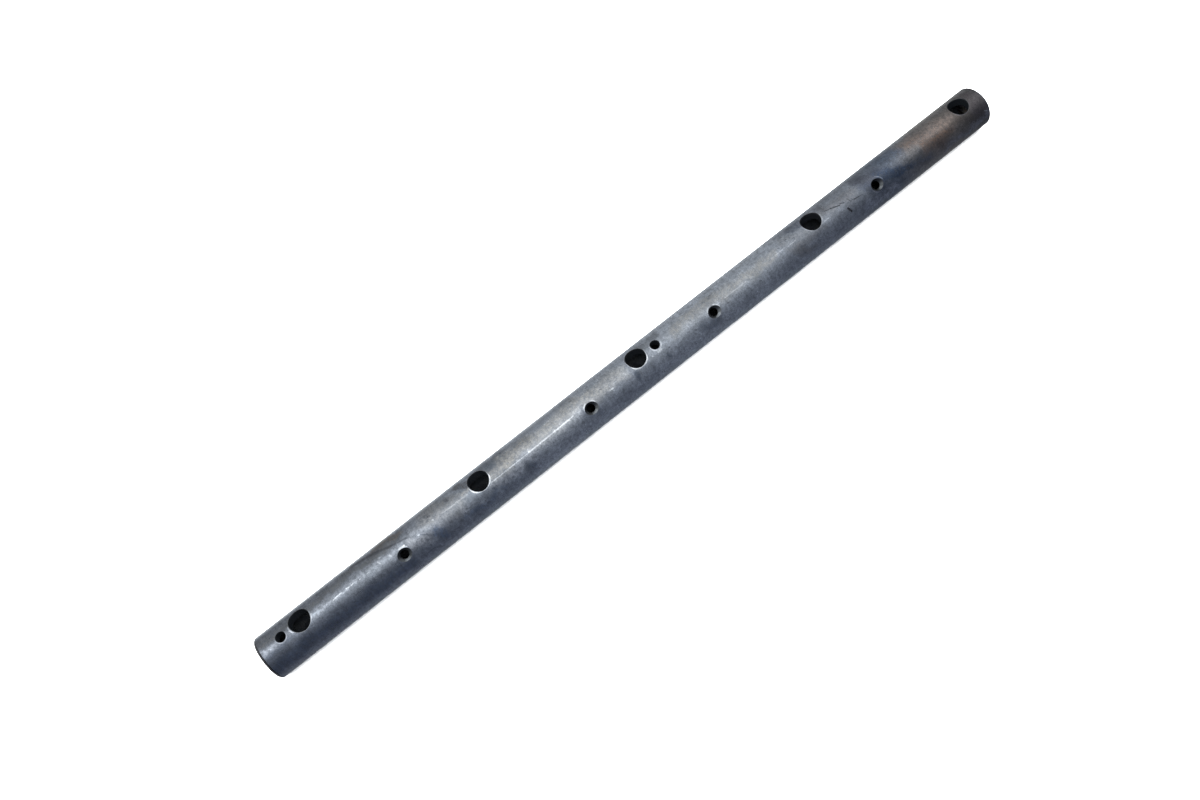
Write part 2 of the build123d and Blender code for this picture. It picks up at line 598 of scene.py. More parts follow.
# The ground outside from the front end to the rear end, as (station, roughness, red, green, blue)
ZONES = (
    (0, 0.31, 0.19, 0.202, 0.232),
    (30, 0.28, 0.215, 0.23, 0.262),
    (60, 0.28, 0.225, 0.24, 0.272),
    (74, 0.31, 0.235, 0.25, 0.285),
    (84, 0.36, 0.275, 0.29, 0.325),
    (104, 0.38, 0.27, 0.292, 0.33),
    (126, 0.38, 0.335, 0.355, 0.395),
    (142, 0.38, 0.395, 0.415, 0.452),
    (156, 0.46, 0.36, 0.38, 0.42),
    (182, 0.5, 0.315, 0.335, 0.375),
    (205, 0.52, 0.365, 0.385, 0.425),
    (246, 0.52, 0.35, 0.37, 0.408),
    (268, 0.5, 0.28, 0.298, 0.335),
    (286, 0.46, 0.265, 0.28, 0.315),
    (302, 0.48, 0.225, 0.24, 0.272),
    (312, 0.48, 0.165, 0.178, 0.208),
    (323, 0.46, 0.13, 0.148, 0.185),
    (336, 0.42, 0.185, 0.18, 0.184),
    (354, 0.42, 0.186, 0.165, 0.155),
    (366, 0.46, 0.125, 0.115, 0.11),
    (380, 0.5, 0.098, 0.09, 0.094),
)

# Marks, as (start station, start turn, end station, end turn, half width, core as a share of it, strength,
# roughness, red, green, blue), in millimetres and degrees: stains, and painted highlights and painted shade
# that widen, narrow and move the bright band
STAINS_AND_PAINTED_LIGHT = (
    (2, 15, 66, 13, 2.9, 0.3, 0.7, 0.34, 0.14, 0.138, 0.138),
    # Painted highlight that widens the bright band upwards at the front
    (0, -4, 74, -5, 1.5, 0, 0.5, 0.28, 0.29, 0.305, 0.34),
    # Painted shade that narrows the bright band from below at the front
    (0, -30, 38, -33, 2.4, 0, 0.5, 0.34, 0.14, 0.155, 0.19),
    # Painted highlights, these two, that brighten the bright band at the front end
    (0, -9, 9, -10, 1.8, 0, 0.7, 0.28, 0.34, 0.36, 0.41),
    (0, -5, 9, -6, 1.3, 0, 0.45, 0.28, 0.44, 0.46, 0.51),
    # Painted shade under the bright band at the front end
    (0, -19, 6, -21, 1.5, 0, 0.5, 0.3, 0.15, 0.165, 0.2),
    (20, -15, 48, -15, 1.3, 0, 0.5, 0.27, 0.48, 0.5, 0.55),
    (22, -14, 30, -12, 2.4, 0, 0.5, 0.3, 0.31, 0.33, 0.37),
    # Painted shade that narrows the bright band from below at the front end
    (0, -23, 14, -27, 2.2, 0.1, 0.7, 0.3, 0.135, 0.15, 0.185),
    (44, 2, 56, -4, 2.6, 0, 0.6, 0.3, 0.3, 0.32, 0.36),
    (72, 4, 80, -6, 3, 0, 0.6, 0.34, 0.33, 0.34, 0.365),
    (48, -15, 78, -12, 2.8, 0, 0.6, 0.3, 0.35, 0.37, 0.41),
    (0, -57, 66, -59, 3.8, 0.1, 0.7, 0.34, 0.108, 0.13, 0.182),
    (56, 30, 68, 22, 2.6, 0.2, 0.75, 0.36, 0.15, 0.13, 0.112),
    (70, -26, 76, -44, 4, 0.1, 0.85, 0.38, 0.365, 0.372, 0.4),
    (80, 14, 92, -22, 7, 0.3, 0.45, 0.38, 0.315, 0.3, 0.282),
    (84, 16, 93, 4, 3.2, 0.1, 0.6, 0.4, 0.205, 0.202, 0.205),
    (97.5, 30, 99.8, 11, 3, 0.4, 0.97, 0.42, 0.128, 0.128, 0.138),
    (96, -2, 101, -5, 1.5, 0, 0.6, 0.38, 0.44, 0.42, 0.4),
    (85, -22, 92, -24, 1.9, 0, 0.5, 0.38, 0.225, 0.235, 0.262),
    (107, -21, 118, -24, 1.6, 0, 0.6, 0.36, 0.46, 0.468, 0.49),
    (80, -38, 83, -54, 2.8, 0.3, 0.75, 0.42, 0.135, 0.172, 0.25),
    (111, 17, 117, 6, 4.4, 0.35, 0.85, 0.42, 0.132, 0.147, 0.172),
    (118, 30, 128, 8, 3.8, 0.2, 0.85, 0.42, 0.19, 0.2, 0.225),
    (94, -36, 104, -44, 3.2, 0, 0.6, 0.4, 0.37, 0.385, 0.415),
    (108, -34, 128, -44, 3.8, 0, 0.85, 0.4, 0.46, 0.47, 0.5),
    (130, -36, 150, -40, 3.6, 0, 0.6, 0.4, 0.45, 0.465, 0.495),
    (129, -28, 152, -27, 2, 0, 0.6, 0.36, 0.54, 0.542, 0.552),
    (120, -14, 128, -18, 3, 0.1, 0.6, 0.38, 0.29, 0.29, 0.3),
    (155, -36, 160, -46, 3.4, 0.1, 0.7, 0.44, 0.22, 0.24, 0.28),
    (128, 34, 152, 26, 3.6, 0.2, 0.75, 0.42, 0.225, 0.24, 0.275),
    (160, 30, 161, -8, 3.4, 0.1, 0.5, 0.44, 0.255, 0.27, 0.3),
    (118, 0, 176, -8, 5, 0.2, 0.65, 0.42, 0.408, 0.39, 0.364),
    (107, -6, 122, -14, 3.4, 0.1, 0.7, 0.38, 0.345, 0.33, 0.312),
    (144, -14, 164, -15, 1.6, 0, 0.45, 0.42, 0.32, 0.328, 0.35),
    (168, 22, 176, 8, 2.6, 0, 0.5, 0.46, 0.41, 0.43, 0.46),
    (177, 4, 178, -22, 2.2, 0, 0.6, 0.44, 0.44, 0.45, 0.47),
    (98, -52, 106, -60, 2.6, 0.1, 0.5, 0.42, 0.15, 0.185, 0.255),
    (110, -50, 112, -64, 1.6, 0.1, 0.4, 0.42, 0.165, 0.2, 0.27),
    (124.4, -51, 125.6, -64, 2.8, 0.25, 0.75, 0.44, 0.128, 0.148, 0.19),
    (93, -56, 100, -52, 2.2, 0.1, 0.6, 0.42, 0.165, 0.195, 0.255),
    (154, 24, 156, 8, 2.6, 0.1, 0.5, 0.46, 0.24, 0.236, 0.236),
    (154, -38, 161, -52, 3.2, 0.1, 0.5, 0.44, 0.225, 0.245, 0.285),
    (180.8, -39, 181.2, -46, 1.9, 0.3, 0.85, 0.45, 0.135, 0.158, 0.2),
    (197.3, -44, 198.2, -49, 1.8, 0.2, 0.8, 0.45, 0.15, 0.17, 0.205),
    (269, -44, 276, -64, 2.8, 0.1, 0.7, 0.46, 0.18, 0.175, 0.18),
    (267, -30, 284, -36, 3, 0, 0.6, 0.46, 0.2, 0.198, 0.206),
    (190, 18, 196.5, 17, 2.6, 0.75, 0.75, 0.48, 0.185, 0.194, 0.21),
    (196, 38, 258, 35, 3, 0.1, 0.5, 0.48, 0.43, 0.455, 0.5),
    # Partly a warm stain and partly painted shade that dims the top of the bright band
    (204, -6, 258, -12, 4.2, 0.1, 0.7, 0.5, 0.31, 0.298, 0.282),
    (215, -15, 227, -19, 2.1, 0, 0.75, 0.5, 0.255, 0.26, 0.275),
    (248, -31, 262, -35, 2.1, 0, 0.5, 0.5, 0.26, 0.275, 0.305),
    (277, 42, 297, 42, 2, 0, 0.5, 0.48, 0.185, 0.195, 0.22),
    (240, 0, 251, -8, 2.4, 0, 0.45, 0.5, 0.275, 0.272, 0.268),
    # Painted highlight that moves the bright band down
    (206, -27, 246, -27, 2.2, 0, 0.4, 0.46, 0.45, 0.465, 0.49),
    (168, -2, 174, -14, 3, 0.1, 0.5, 0.46, 0.29, 0.3, 0.325),
    (216, -42, 222, -54, 3.4, 0.2, 0.85, 0.48, 0.18, 0.198, 0.235),
    (220, 10, 228, 2, 2.4, 0.1, 0.5, 0.5, 0.235, 0.23, 0.225),
    (266, -2, 277, -12, 3.4, 0.1, 0.5, 0.5, 0.2, 0.198, 0.202),
    (262, 18, 268, 6, 2.8, 0, 0.5, 0.48, 0.37, 0.385, 0.415),
    (273, 23, 278, 20, 2.6, 0.3, 0.95, 0.46, 0.128, 0.14, 0.17),
    (286.5, 20, 289, 10, 2, 0.2, 0.65, 0.46, 0.155, 0.165, 0.19),
    (288, 2, 303, -14, 4.4, 0.1, 0.8, 0.44, 0.17, 0.17, 0.18),
    (308, 18, 317, -16, 5.2, 0.4, 0.95, 0.42, 0.084, 0.089, 0.11),
    (309, -24, 316, -46, 4, 0.2, 0.7, 0.42, 0.085, 0.098, 0.135),
    (306, -66, 322, -74, 3.4, 0.1, 0.9, 0.44, 0.27, 0.285, 0.33),
    (318, 39, 340, 38, 2.2, 0, 0.5, 0.42, 0.2, 0.225, 0.265),
    (342, 38, 378, 38, 2.2, 0, 0.5, 0.44, 0.225, 0.205, 0.198),
    (319, 34, 329, 6, 4.8, 0.1, 0.8, 0.4, 0.115, 0.138, 0.18),
    (329, 32, 333, 8, 3.4, 0, 0.7, 0.4, 0.108, 0.136, 0.192),
    (317, -4, 322, -18, 2.6, 0.2, 0.8, 0.4, 0.07, 0.085, 0.12),
    (318, -24, 332, -49, 3.2, 0.3, 0.9, 0.42, 0.056, 0.076, 0.118),
    (332, -47, 344, -62, 3.2, 0, 0.6, 0.44, 0.09, 0.105, 0.14),
    (338, 2, 359, -18, 6.8, 0, 0.9, 0.4, 0.205, 0.16, 0.14),
    (344, -32, 357, -42, 3.6, 0, 0.85, 0.4, 0.185, 0.124, 0.094),
    (343, -46, 355, -54, 2.8, 0, 0.65, 0.42, 0.14, 0.108, 0.096),
    (360.5, -18, 364.5, -23, 2, 0.1, 0.9, 0.42, 0.118, 0.102, 0.093),
    (365, -24, 370, -48, 3.8, 0.2, 0.65, 0.46, 0.09, 0.077, 0.072),
    (374, 8, 374, -56, 4.2, 0.3, 0.6, 0.48, 0.08, 0.07, 0.076),
    (352, 32, 379, 32, 2.4, 0.2, 0.5, 0.46, 0.165, 0.16, 0.165),
    (352, -76, 379, -74, 3, 0.1, 0.6, 0.46, 0.175, 0.182, 0.215),
)

# Narrow marks with sharper edges, given the same way: scratches, and painted highlights at the rims of holes
SCRATCHES_AND_HIGHLIGHTS = (
    (46, 34, 58.1, 15.6, 1.7, 0.1, 0.9, 0.4, 0.092, 0.094, 0.104),
    (55, 21, 63.2, 4.4, 0.95, 0.1, 0.85, 0.4, 0.096, 0.098, 0.108),
    (63.2, 4.4, 69.6, -3.6, 0.6, 0.1, 0.75, 0.4, 0.11, 0.114, 0.128),
    (69.6, -3.6, 74.7, -19.6, 0.4, 0.1, 0.4, 0.4, 0.15, 0.156, 0.178),
    (74.7, -19.6, 78.7, -39.7, 0.45, 0.1, 0.6, 0.4, 0.13, 0.14, 0.17),
    (25, -11.5, 28, -12.2, 0.6, 0, 0.6, 0.28, 0.5, 0.54, 0.6),
    (34, -13.6, 36.2, -13, 0.4, 0.1, 0.9, 0.26, 0.74, 0.76, 0.8),
    (35.9, -12.3, 37.9, -12.2, 0.36, 0.1, 0.9, 0.26, 0.72, 0.74, 0.78),
    (40.3, -11.4, 41.6, -12.3, 0.4, 0.1, 0.85, 0.26, 0.7, 0.72, 0.76),
    (42.5, -12.3, 43.4, -11.7, 0.36, 0.1, 0.85, 0.26, 0.72, 0.74, 0.78),
    (46.2, -13.6, 46.8, -13.8, 0.34, 0, 0.7, 0.28, 0.62, 0.64, 0.68),
    (49.8, -14.6, 50.6, -14.4, 0.34, 0, 0.7, 0.28, 0.6, 0.62, 0.66),
    (55.5, -6.6, 56, -15, 0.38, 0.1, 0.8, 0.28, 0.66, 0.68, 0.72),
    (56.2, -0.5, 57.2, -1.5, 0.5, 0, 0.6, 0.28, 0.46, 0.48, 0.52),
    (60.6, -13.2, 61, -15.4, 0.5, 0.1, 0.8, 0.28, 0.62, 0.64, 0.68),
    (73.8, -16.7, 74.2, -17.4, 0.42, 0.2, 0.85, 0.28, 0.66, 0.68, 0.72),
    (81.4, -8.4, 81.9, -8.8, 0.4, 0.1, 0.75, 0.3, 0.6, 0.62, 0.64),
    # Painted highlight along the upper rim of the first oil outlet
    (65.1, -15.4, 67.2, -15, 0.5, 0.2, 1, 0.26, 0.95, 0.96, 0.98),
    # Painted highlights, these two, beside the rim of the first bolt hole
    (14.4, -7, 15, -14, 0.55, 0.2, 0.8, 0.28, 0.66, 0.68, 0.74),
    (23.8, -13, 24.4, -7, 0.55, 0.1, 0.7, 0.28, 0.52, 0.54, 0.58),
    (86.3, -11, 98.3, -12, 0.5, 0.1, 0.6, 0.34, 0.5, 0.51, 0.53),
    (107.6, -38, 108.5, -46, 0.8, 0.1, 0.7, 0.42, 0.15, 0.178, 0.235),
    (108.3, -25.4, 128.3, -24, 0.36, 0.1, 0.8, 0.26, 0.72, 0.74, 0.77),
    (127.3, -24, 150.3, -20.8, 0.46, 0.1, 0.9, 0.24, 0.84, 0.85, 0.87),
    (168.6, -26.8, 170.2, -27.1, 0.46, 0.2, 0.9, 0.28, 0.8, 0.82, 0.84),
    (171.5, -18.6, 172.8, -18.9, 0.34, 0.1, 0.6, 0.3, 0.6, 0.62, 0.65),
    (376.6, -56, 377.6, -60, 0.4, 0, 0.7, 0.4, 0.4, 0.41, 0.43),
    # Painted glints, these two, below the second small hole
    (194.3, -24.2, 195.4, -24.8, 1, 0.2, 0.9, 0.36, 0.74, 0.76, 0.8),
    (190.9, -24.6, 191.2, -27, 0.45, 0.1, 0.7, 0.34, 0.7, 0.72, 0.76),
    (230.4, -21.7, 242, -21.7, 0.36, 0, 0.6, 0.4, 0.58, 0.59, 0.61),
    (257, -15.9, 264.4, -14.6, 0.34, 0, 0.5, 0.38, 0.54, 0.55, 0.58),
    (265.8, -17.6, 270.4, -17.3, 0.34, 0, 0.6, 0.38, 0.54, 0.55, 0.58),
    (283.6, -25.2, 288.1, -24.4, 0.4, 0.1, 0.7, 0.38, 0.52, 0.54, 0.58),
    (288.8, -3.4, 291.6, -7.7, 0.36, 0.1, 0.75, 0.5, 0.06, 0.062, 0.07),
    (291.6, -7.7, 295.4, -16, 0.44, 0.2, 0.95, 0.5, 0.036, 0.038, 0.044),
    (296.2, -13.4, 297.8, -17.2, 0.5, 0.1, 0.75, 0.5, 0.05, 0.052, 0.06),
    (301.6, -25, 304.8, -28.8, 0.34, 0.1, 0.75, 0.5, 0.055, 0.057, 0.065),
    (299.9, -14, 300.5, -26, 0.3, 0.2, 0.7, 0.5, 0.07, 0.072, 0.08),
    (302.3, -28, 306.3, -30, 0.3, 0.2, 0.7, 0.5, 0.07, 0.072, 0.08),
    (297.6, -36, 298.3, -47, 0.62, 0.5, 0.95, 0.55, 0.02, 0.02, 0.024),
)

# Painted highlights, as crescents at the rims of holes where the light catches them, as (station and turn of
# the hole, radius, heading of the middle, reach to either side of it in degrees, half width, strength,
# roughness, red, green, blue)
RIM_HIGHLIGHTS = (
    (10.5, -5, 2.35, -80, 125, 0.45, 0.5, 0.28, 0.48, 0.5, 0.55),
    (19.4, 0, 4.85, -166, 26, 0.45, 0.6, 0.28, 0.66, 0.68, 0.74),
    (19.4, 0, 4.85, -22, 34, 0.5, 0.5, 0.28, 0.52, 0.54, 0.58),
    (65.3, -33.5, 3.2, 72, 42, 0.52, 0.85, 0.28, 0.7, 0.72, 0.76),
    (104.8, 0, 4.8, -137, 36, 0.54, 1, 0.3, 0.92, 0.93, 0.95),
    (104.8, 0, 4.85, -92, 50, 0.4, 0.6, 0.3, 0.66, 0.68, 0.72),
    (104.8, 0, 4.8, -40, 38, 0.48, 1, 0.3, 0.9, 0.91, 0.93),
    (158.1, -33.5, 3.12, 136, 34, 0.42, 0.75, 0.32, 0.68, 0.7, 0.73),
    (158.1, -33.5, 3.12, 44, 30, 0.36, 0.65, 0.32, 0.68, 0.7, 0.73),
    (185.3, 0, 4.82, -117, 34, 0.62, 1, 0.34, 0.88, 0.89, 0.91),
    (185.3, 0, 4.82, -90, 60, 0.36, 0.55, 0.34, 0.62, 0.64, 0.67),
    (185.3, 0, 4.82, -56, 34, 0.6, 1, 0.34, 0.86, 0.87, 0.89),
    (195, -5.9, 2.5, -100, 178, 0.42, 0.8, 0.36, 0.6, 0.62, 0.66),
    (223.3, -33.5, 3.12, 138, 34, 0.4, 0.6, 0.34, 0.62, 0.64, 0.67),
    (223.3, -33.5, 3.15, 40, 36, 0.48, 0.8, 0.34, 0.66, 0.68, 0.71),
    (281.4, 0, 4.82, -142, 30, 0.4, 0.55, 0.36, 0.5, 0.52, 0.56),
    (281.4, 0, 4.85, -30, 36, 0.4, 0.5, 0.36, 0.46, 0.48, 0.52),
    (314.8, -33.5, 3.5, 36, 44, 0.34, 0.55, 0.4, 0.3, 0.32, 0.36),
    (314.8, -33.5, 3.3, -125, 56, 0.36, 0.6, 0.4, 0.3, 0.31, 0.35),
    (368.1, 0, 4.85, -118, 60, 0.42, 0.4, 0.4, 0.24, 0.23, 0.24),
)

# Small dark spots, as (station, turn, half width)
SPOTS = (
    (80, 12, 1.3), (81, 6, 0.8), (90, 14, 1.5), (90, 8, 0.9), (97, 18, 0.9), (63, 22, 0.7), (118, 27, 0.6),
    (43.5, -29, 0.6), (86.5, -39, 1), (90, -53, 1.3), (102.8, -60, 0.9), (151.7, -48.4, 0.8), (153, 18, 0.6),
    (212, 22, 0.6), (218, 22, 0.6), (222, 5, 0.7), (225, 4, 0.8), (226, 10, 0.6), (267, 2, 0.6),
    (270, -8, 0.5), (334, -37, 0.6), (340, -35, 0.95), (356, -30, 0.7), (358, 15, 0.4), (294, -33, 0.4),
    (212, -40, 0.5), (262, -5, 0.5), (230, -35.8, 0.6), (271, -40, 0.7), (270.5, -58, 0.6), (266.5, 17, 0.6),
    (155.7, -13.8, 0.5), (165.5, -9.4, 0.5), (175, -62, 0.6), (94.5, -38, 0.6), (198.5, -33, 0.5),
    (247, -43, 0.6),
)

# How far a spot's end lies from its start in millimetres and degrees, and a spot's values from the core on
SPOT_RUN = 0.5
SPOT_DROP = 1
SPOT_LOOK = (0.2, 0.6, 0.5, 0.09, 0.095, 0.11)

# Noises on the ground outside, as (fineness, detail, roughness of the noise)
CLOUD = (0.16, 5.0, 0.55)
MOTTLE = (0.75, 4.0, 0.6)
GRIT = (2.2, 2.0, 0.6)
RINGS = ((0.9, 0.05, 0.05), 4.0, 0.6)
GRINDING = ((5.0, 0.12, 0.12), 3.0, 0.6)

# Noises that move the edges of stains, and those of scratches and spots, as (fineness, reach in millimetres)
BROAD_STRAYS = ((0.11, 9.0), (0.7, 1.6))
NARROW_STRAYS = ((1.1, 0.4),)

# Range of the mottle in which marks come out, and how much of a stain and of a scratch is left at its low end
MARK_RANGE = (0.32, 0.60)
LEAST_STAIN = 0.30
LEAST_SCRATCH = 0.70

# Hairlines: direction and shift of each set, fineness along and across them, and range that they show in
HAIRLINE_SETS = ((12, 40), (78, 90))
HAIRLINE_FINENESS = (0.035, 2.6, 1.0)
HAIRLINE_RANGE = (0.70, 0.80)

# Bright flecks and dark pits, as (fineness of their cells, edge, fineness of the patches they keep to, range)
FLECKS = (0.62, (0.10, 0.26), 0.22, (0.48, 0.60))
PITS = (0.8, (0.10, 0.22), 0.3, (0.55, 0.68))

# Roughness taken off the whole ground outside, and depth of its relief in millimetres
POLISH = 0.10
GROUND_RELIEF = 0.03


def lay_over(tree, cover, strength, finish, under):
    """Lays a finish of (roughness, red, green, blue) over the one under it, as far as the cover goes."""
    amount = maths(tree, "MULTIPLY", cover, strength)
    return mixed(tree, amount, under[0], finish[0]), blended(tree, amount, under[1], (*finish[1:], 1))


def add_mark(tree, group, place, mark, evenness, under):
    """Lays one mark over the finish under it, as strongly as the evenness lets it."""
    start, start_turn, end, end_turn, half_width, core, strength, *finish = mark
    ends = (on_outside(start, start_turn), on_outside(end, end_turn))
    cover = maths(tree, "MULTIPLY", from_group(tree, group, place, *ends, half_width, core), evenness)
    return lay_over(tree, cover, strength, finish, under)


def add_rim_highlight(tree, group, place, rim, under):
    """Lays one painted highlight crescent over the finish under it."""
    station, turn, radius, heading, reach, half_width, strength, *finish = rim
    towards = (cos(radians(heading)), sin(radians(heading)), 0.0)
    values = (on_outside(station, turn), towards, radius, half_width, cos(radians(reach)))
    return lay_over(tree, from_group(tree, group, place, *values), strength, finish, under)


def with_marks(tree, flat, broad, narrow, mottle, finish):
    """The finish with its stains, scratches, spots, painted highlights and shade, and painted highlight
    crescents at the rims.
    """
    evenness = eased(tree, mottle, *MARK_RANGE, LEAST_STAIN, 1.0)
    steadiness = eased(tree, mottle, *MARK_RANGE, LEAST_SCRATCH, 1.0)
    spots = [(x, turn, x + SPOT_RUN, turn - SPOT_DROP, width, *SPOT_LOOK) for x, turn, width in SPOTS]
    layers = ((STAINS_AND_PAINTED_LIGHT, broad, evenness), (SCRATCHES_AND_HIGHLIGHTS, narrow, steadiness), (spots, narrow, evenness))
    group = mark_group()
    for marks, place, share in layers:
        for mark in marks:
            finish = add_mark(tree, group, place, mark, share, finish)
    group = rim_highlight_group()
    for rim in RIM_HIGHLIGHTS:
        finish = add_rim_highlight(tree, group, flat, rim, finish)
    return finish


def hairline_set(tree, flat, turn, shift):
    """Thin straight hairlines on the unrolled outside, all running one way."""
    values = {"Vector": flat, "Location": (shift, shift / 3, shift / 7), "Rotation": (0, 0, radians(turn))}
    laid = node(tree, "ShaderNodeMapping", {**values, "Scale": HAIRLINE_FINENESS}).outputs[0]
    return eased(tree, noise(tree, laid, 1.0, 2.0, 0.6), *HAIRLINE_RANGE)


def scattered(tree, place, fineness, edge, patch_fineness, patch_range):
    """Small round specks, one to a cell, that keep to the patches where a broader noise is high."""
    cells = node(tree, "ShaderNodeTexVoronoi", {"Vector": place, "Scale": fineness}).outputs[0]
    patches = eased(tree, noise(tree, place, patch_fineness), *patch_range)
    return maths(tree, "MULTIPLY", eased(tree, cells, *edge, 1.0, 0.0), patches)


def ground_steel(tree, place, parts):
    """Ground outside: bright where arms rubbed it, dark and stained where hot oil stayed on it, with painted
    highlights and painted shade among its marks.
    """
    flat = unrolled(tree, parts)
    broad, narrow = [strayed(tree, flat, place, strays) for strays in (BROAD_STRAYS, NARROW_STRAYS)]
    looks = (CLOUD, MOTTLE, GRIT, RINGS, GRINDING)
    cloud, mottle, grit, rings, grinding = [noise(tree, place, *look) for look in looks]
    hairlines = maths(tree, "MAXIMUM", *[hairline_set(tree, flat, *lie) for lie in HAIRLINE_SETS])
    flecks, pits = [scattered(tree, place, *look) for look in (FLECKS, PITS)]

    length = 2 * HALF_LENGTH / MM
    stops = [(station / length, (*colour, roughness)) for station, roughness, *colour in ZONES]
    zones = graded_node(tree, maths(tree, "DIVIDE", split(tree, broad)[0], length), stops).outputs
    roughness = maths(tree, "ADD", zones["Alpha"], roughened(tree, cloud, -0.04, 0.04))
    roughness, colour = with_marks(tree, flat, broad, narrow, mottle, (roughness, zones["Color"]))

    for texture, spread in ((cloud, 0.14), (mottle, 0.22), (grit, 0.21)):
        colour = uneven(tree, colour, texture, 1 - spread, 1 + spread, 0.25, 0.75)
    for texture, spread in ((rings, 0.08), (grinding, 0.09)):
        colour = uneven(tree, colour, texture, 1 - spread, 1 + spread)
    for texture, share in ((hairlines, 0.25), (flecks, 0.35), (pits, -0.55)):
        colour = scaled(tree, colour, summed(tree, 1.0, ((texture, share),)))
    roughness = summed(tree, roughness, ((rings, 0.12), (grinding, 0.08), (pits, 0.15)))
    shares = ((mottle, 0.18), (rings, 0.10), (grinding, 0.05), (hairlines, -0.06), (pits, -0.35))
    return colour, maths(tree, "SUBTRACT", roughness, POLISH), summed(tree, cloud, shares), GROUND_RELIEF, {}


# Lightness of the turned end faces, and of the chamfers as (start and end along X, front and rear lightness):
# the front chamfer is darkened by painted shade, and the rear one made lighter
END_FACE_TONE = 1.4
CHAMFER_SHADING = (-100.0, 100.0, 0.30, 1.6)


def turned_end(tree, place, parts):
    """Turned end faces, chamfers and plug seats, ringed by the tool, with painted shade on the front chamfer.
    """
    radius = from_axis(tree, parts)
    rings = lines(tree, radius, 6.0, Y=parts[0])
    soot = noise(tree, place, 0.45, 4.0, 0.6)
    colour = filmed(tree, soot, (0.17, 0.175, 0.195), (0.085, 0.085, 0.095))
    chamfer_foot = (SHAFT_RADIUS - END_CHAMFER) / MM
    on_chamfer = eased(tree, radius, chamfer_foot - 0.3, chamfer_foot + 0.1)
    chamfer_shading = eased(tree, parts[0], *CHAMFER_SHADING)
    colour = scaled(tree, colour, mixed(tree, on_chamfer, END_FACE_TONE, chamfer_shading))
    return uneven(tree, colour, rings, 0.8, 1.25), roughened(tree, soot, 0.36, 0.52), rings, 0.008, {}


# How little light oily black walls throw back
OILY = {"Specular IOR Level": 0.05}


def oil_bore(tree, place, parts):
    """Drilled oil bore, dull and black with old oil."""
    film = noise(tree, place, 0.3, 4.0, 0.6)
    rings = noise(tree, place, (2.5, 0.05, 0.05), 3.0)
    colour = uneven(tree, filmed(tree, film, (0.011, 0.012, 0.013), (0.006, 0.007, 0.009)), rings, 0.85, 1.15)
    return colour, roughened(tree, film, 0.6, 0.8), rings, 0.02, {"Metallic": 0.0, **OILY}


# Wear at the mouths of the holes in millimetres: depth, raggedness, start above the outside, how much painted
# shade dims it towards +Y, where along Y that begins and ends, and the depths between which bare metal ends
BOLT_HOLE_WEAR = 0.28
SMALL_HOLE_WEAR = 0.0
WEAR_RAGGED = 0.12
WEAR_START = 0.05
PAINTED_SHADE_TOWARDS_Y = 0.22
WEAR_SIDES = (-1.5, 3.0)
BARE_DEPTHS = (0.15, 0.30)

# How far bolts and washers rubbed the mouths bright, as (place along X in millimetres, share)
RUBBED = ((-180, 0.45), (-160, 0.45), (-95, 1.0), (-5, 1.0), (50, 0.8), (91, 0.42), (150, 0.2), (178, 0.14))

# Colours of a wall, as (depth below the mouth in millimetres, colour): bright at the mouth, and black further
# in, partly old oil and partly painted shade in the hole
WALL_COLOURS = (
    (0.0, (0.80, 0.82, 0.85)),
    (0.07, (0.60, 0.62, 0.66)),
    (0.16, (0.11, 0.114, 0.125)),
    (0.28, (0.0055, 0.006, 0.007)),
    (1.0, (0.005, 0.006, 0.0075)),
)


def drilled_wall(tree, place, parts, wear):
    """Wall of a drilled hole: rubbed bright at the mouth as deep as its wear, less so towards +Y by painted
    shade, and black further in, with old oil and with painted shade.
    """
    grime = noise(tree, place, 0.9, 4.0, 0.6)
    feed = noise(tree, place, (0.15, 0.15, 3.2))
    ragged = maths(tree, "MULTIPLY_ADD", grime, WEAR_RAGGED, from_axis(tree, parts))
    depth = maths(tree, "SUBTRACT", SHAFT_RADIUS / MM + WEAR_START, ragged)
    unworn = BOLT_HOLE_WEAR - wear
    # Painted shade: the bright mouth is made dimmer towards +Y
    sunk = maths(tree, "ADD", depth, eased(tree, parts[1], *WEAR_SIDES, unworn, unworn + PAINTED_SHADE_TOWARDS_Y))
    length = 2 * HALF_LENGTH / MM
    share = maths(tree, "MULTIPLY_ADD", parts[0], 1 / length, 0.5)
    stops = [(x / length + 0.5, (tone, tone, tone)) for x, tone in RUBBED]
    rubbed = node(tree, "ShaderNodeRGBToBW", {0: graded(tree, share, stops)}).outputs[0]
    bare = eased(tree, sunk, *BARE_DEPTHS, 1.0, 0.0)
    colour = scaled(tree, graded(tree, sunk, WALL_COLOURS), mixed(tree, bare, 1.0, rubbed))
    colour = uneven(tree, colour, feed, 0.75, 1.3)
    return colour, roughened(tree, grime, 0.42, 0.6), feed, 0.02, {"Metallic": bare, **OILY}


# How far a cone's side with the painted highlight is turned from across the shaft, as (start and end along X,
# turn at each)
CONE_SWINGS = (-125.0, 30.0, radians(2), radians(20))

# Where a cone's scale of painted highlight begins, and how light its colours are, given in the same way
CONE_HIGHLIGHT_SHIFT = (40.0, 125.0, 0.4, 0.365)
CONE_TONE = (40.0, 125.0, 1.0, 0.70)

# Colours of a cone, as (share of painted highlight, colour), and that of the bore under it
CONE_COLOURS = (
    (0.0, (0.04, 0.043, 0.05)),
    (0.42, (0.1, 0.105, 0.112)),
    (0.78, (0.145, 0.152, 0.16)),
    (0.87, (0.46, 0.48, 0.50)),
    (1.0, (0.54, 0.56, 0.58)),
)
OUTLET_BORE_COLOUR = (0.012, 0.013, 0.014, 1)


